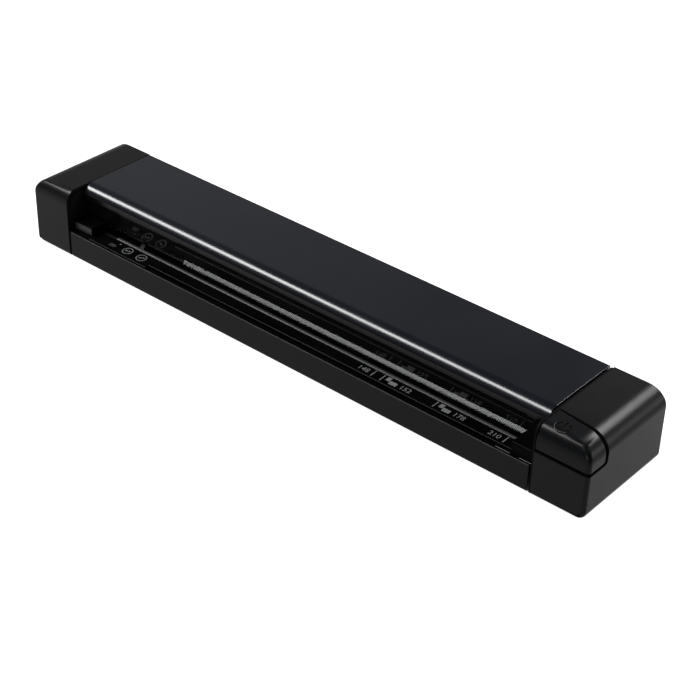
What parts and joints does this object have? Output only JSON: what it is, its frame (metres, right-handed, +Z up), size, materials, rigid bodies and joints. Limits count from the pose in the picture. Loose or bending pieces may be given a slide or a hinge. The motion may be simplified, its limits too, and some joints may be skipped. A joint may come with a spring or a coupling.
{
  "type": "sheet fed document scanner",
  "caption": "Slim black sheet fed document scanner: long box with a front feed slot, ruled ledge, sliding paper guide and a corner power button.",
  "frame": {"origin": "middle of the footprint, on the surface the rubber feet stand on", "axes": "+X along the length towards the power button, -Y out of the feed slot, +Z up"},
  "size_m": [0.288, 0.049, 0.031],
  "materials": {
    "shell_matte": "fine matte moulding grain",
    "cover_satin": "satin, smooth",
    "gloss_black": "polished",
    "chassis_black": "semi-gloss",
    "inner_black": "matte",
    "roller_grey": "ground rubber",
    "foot_rubber": "matte",
    "steel": "ground",
    "bronze": "sintered bronze",
    "nylon": "natural nylon",
    "board_green": "solder mask",
    "sensor_glass": "clear"
  },
  "bodies": {
    "casing": {"left_cap": "shell_matte", "right_cap": "shell_matte", "lower_housing": "shell_matte", "top_cover": "cover_satin", "upper_guide": "gloss_black", "input_ledge": "gloss_black", "left_guide_stop": "gloss_black", "left_side_plate": "chassis_black", "right_side_plate": "chassis_black", "paper_deck": "chassis_black", "exit_guide": "chassis_black", "sensor_gate": "inner_black", "tact_switch": "inner_black", "controller_chip": "inner_black", "motor": "steel", "idler_pin": "steel", "compound_pin": "steel", "cover_stiffener": "steel", "usb_socket": "steel", "button_spring": "steel", "cis_spring_left": "steel", "cis_spring_right": "steel", "platen_bush_left": "bronze", "platen_bush_right": "bronze", "exit_bush_left": "bronze", "exit_bush_right": "bronze", "pinch_clip_1": "nylon", "pinch_clip_2": "nylon", "main_board": "board_green", "switch_board": "board_green", "foot_1": "foot_rubber", "housing_screw_1": "steel", "foot_2": "foot_rubber", "housing_screw_2": "steel", "foot_3": "foot_rubber", "housing_screw_3": "steel", "foot_4": "foot_rubber", "housing_screw_4": "steel"},
    "platen_roller": {"platen_shaft": "steel", "platen_sleeve": "roller_grey", "platen_gear": "nylon"},
    "idler": {"idler_gear": "nylon"},
    "exit_roller": {"exit_shaft": "steel", "exit_tyre_1": "roller_grey", "exit_tyre_2": "roller_grey", "exit_tyre_3": "roller_grey", "exit_gear": "nylon"},
    "compound": {"compound_gear": "nylon"},
    "motor_rotor": {"motor_shaft": "steel", "motor_pinion": "nylon"},
    "pinch_rollers": {"pinch_shaft": "steel", "pinch_roller_1": "nylon", "pinch_roller_2": "nylon", "pinch_roller_3": "nylon"},
    "button": {"power_button": "cover_satin"},
    "sliding_guide": {"paper_guide": "gloss_black"},
    "detector_lever": {"sensor_lever": "chassis_black"},
    "image_sensor": {"cis_housing": "inner_black", "cis_glass": "sensor_glass", "cis_board": "board_green"}
  },
  "joints": [
    {"name": "platen_spin", "type": "hinge", "parent": "casing", "child": "platen_roller", "pos_m": [0, -0.0035, 0.0078], "axis": [1, 0, 0], "continuous": true},
    {"name": "idler_spin", "type": "hinge", "parent": "casing", "child": "idler", "pos_m": [-0.1269, 0.00475, 0.0078], "axis": [1, 0, 0], "continuous": true},
    {"name": "exit_spin", "type": "hinge", "parent": "casing", "child": "exit_roller", "pos_m": [0, 0.013, 0.0078], "axis": [1, 0, 0], "continuous": true},
    {"name": "compound_spin", "type": "hinge", "parent": "casing", "child": "compound", "pos_m": [-0.1272, -0.00143, 0.01553], "axis": [1, 0, 0], "continuous": true},
    {"name": "motor_spin", "type": "hinge", "parent": "casing", "child": "motor_rotor", "pos_m": [-0.1305, 0.00723, 0.02053], "axis": [1, 0, 0], "continuous": true},
    {"name": "pinch_spin", "type": "hinge", "parent": "casing", "child": "pinch_rollers", "pos_m": [0, 0.013, 0.0151], "axis": [1, 0, 0], "continuous": true},
    {"name": "button_press", "type": "slide", "parent": "casing", "child": "button", "axis": [0, 0, -1], "range_m": [0, 0.0006], "stiffness_N_per_m": 500, "springref_m": -0.001, "deforming": ["button_spring"]},
    {"name": "guide_slide", "type": "slide", "parent": "casing", "child": "sliding_guide", "axis": [1, 0, 0], "range_m": [-0.166, 0]},
    {"name": "detector_tilt", "type": "hinge", "parent": "casing", "child": "detector_lever", "pos_m": [-0.09, -0.0145, 0.0087], "axis": [-1, 0, 0], "range_deg": [0, 32], "stiffness_Nm_per_rad": 0.0005, "springref_deg": -17.19},
    {"name": "sensor_float", "type": "slide", "parent": "casing", "child": "image_sensor", "axis": [0, 0, 1], "range_m": [0, 0.0004], "stiffness_N_per_m": 400, "springref_m": -0.003, "deforming": ["cis_spring_left", "cis_spring_right"]}
  ],
  "couplings": [
    {"joint": "idler_spin", "follows": "platen_spin", "ratio": -1.5385},
    {"joint": "exit_spin", "follows": "platen_spin", "ratio": 1},
    {"joint": "compound_spin", "follows": "platen_spin", "ratio": -1.6667},
    {"joint": "motor_spin", "follows": "platen_spin", "ratio": 5},
    {"joint": "pinch_spin", "follows": "platen_spin", "ratio": -1.8}
  ]
}
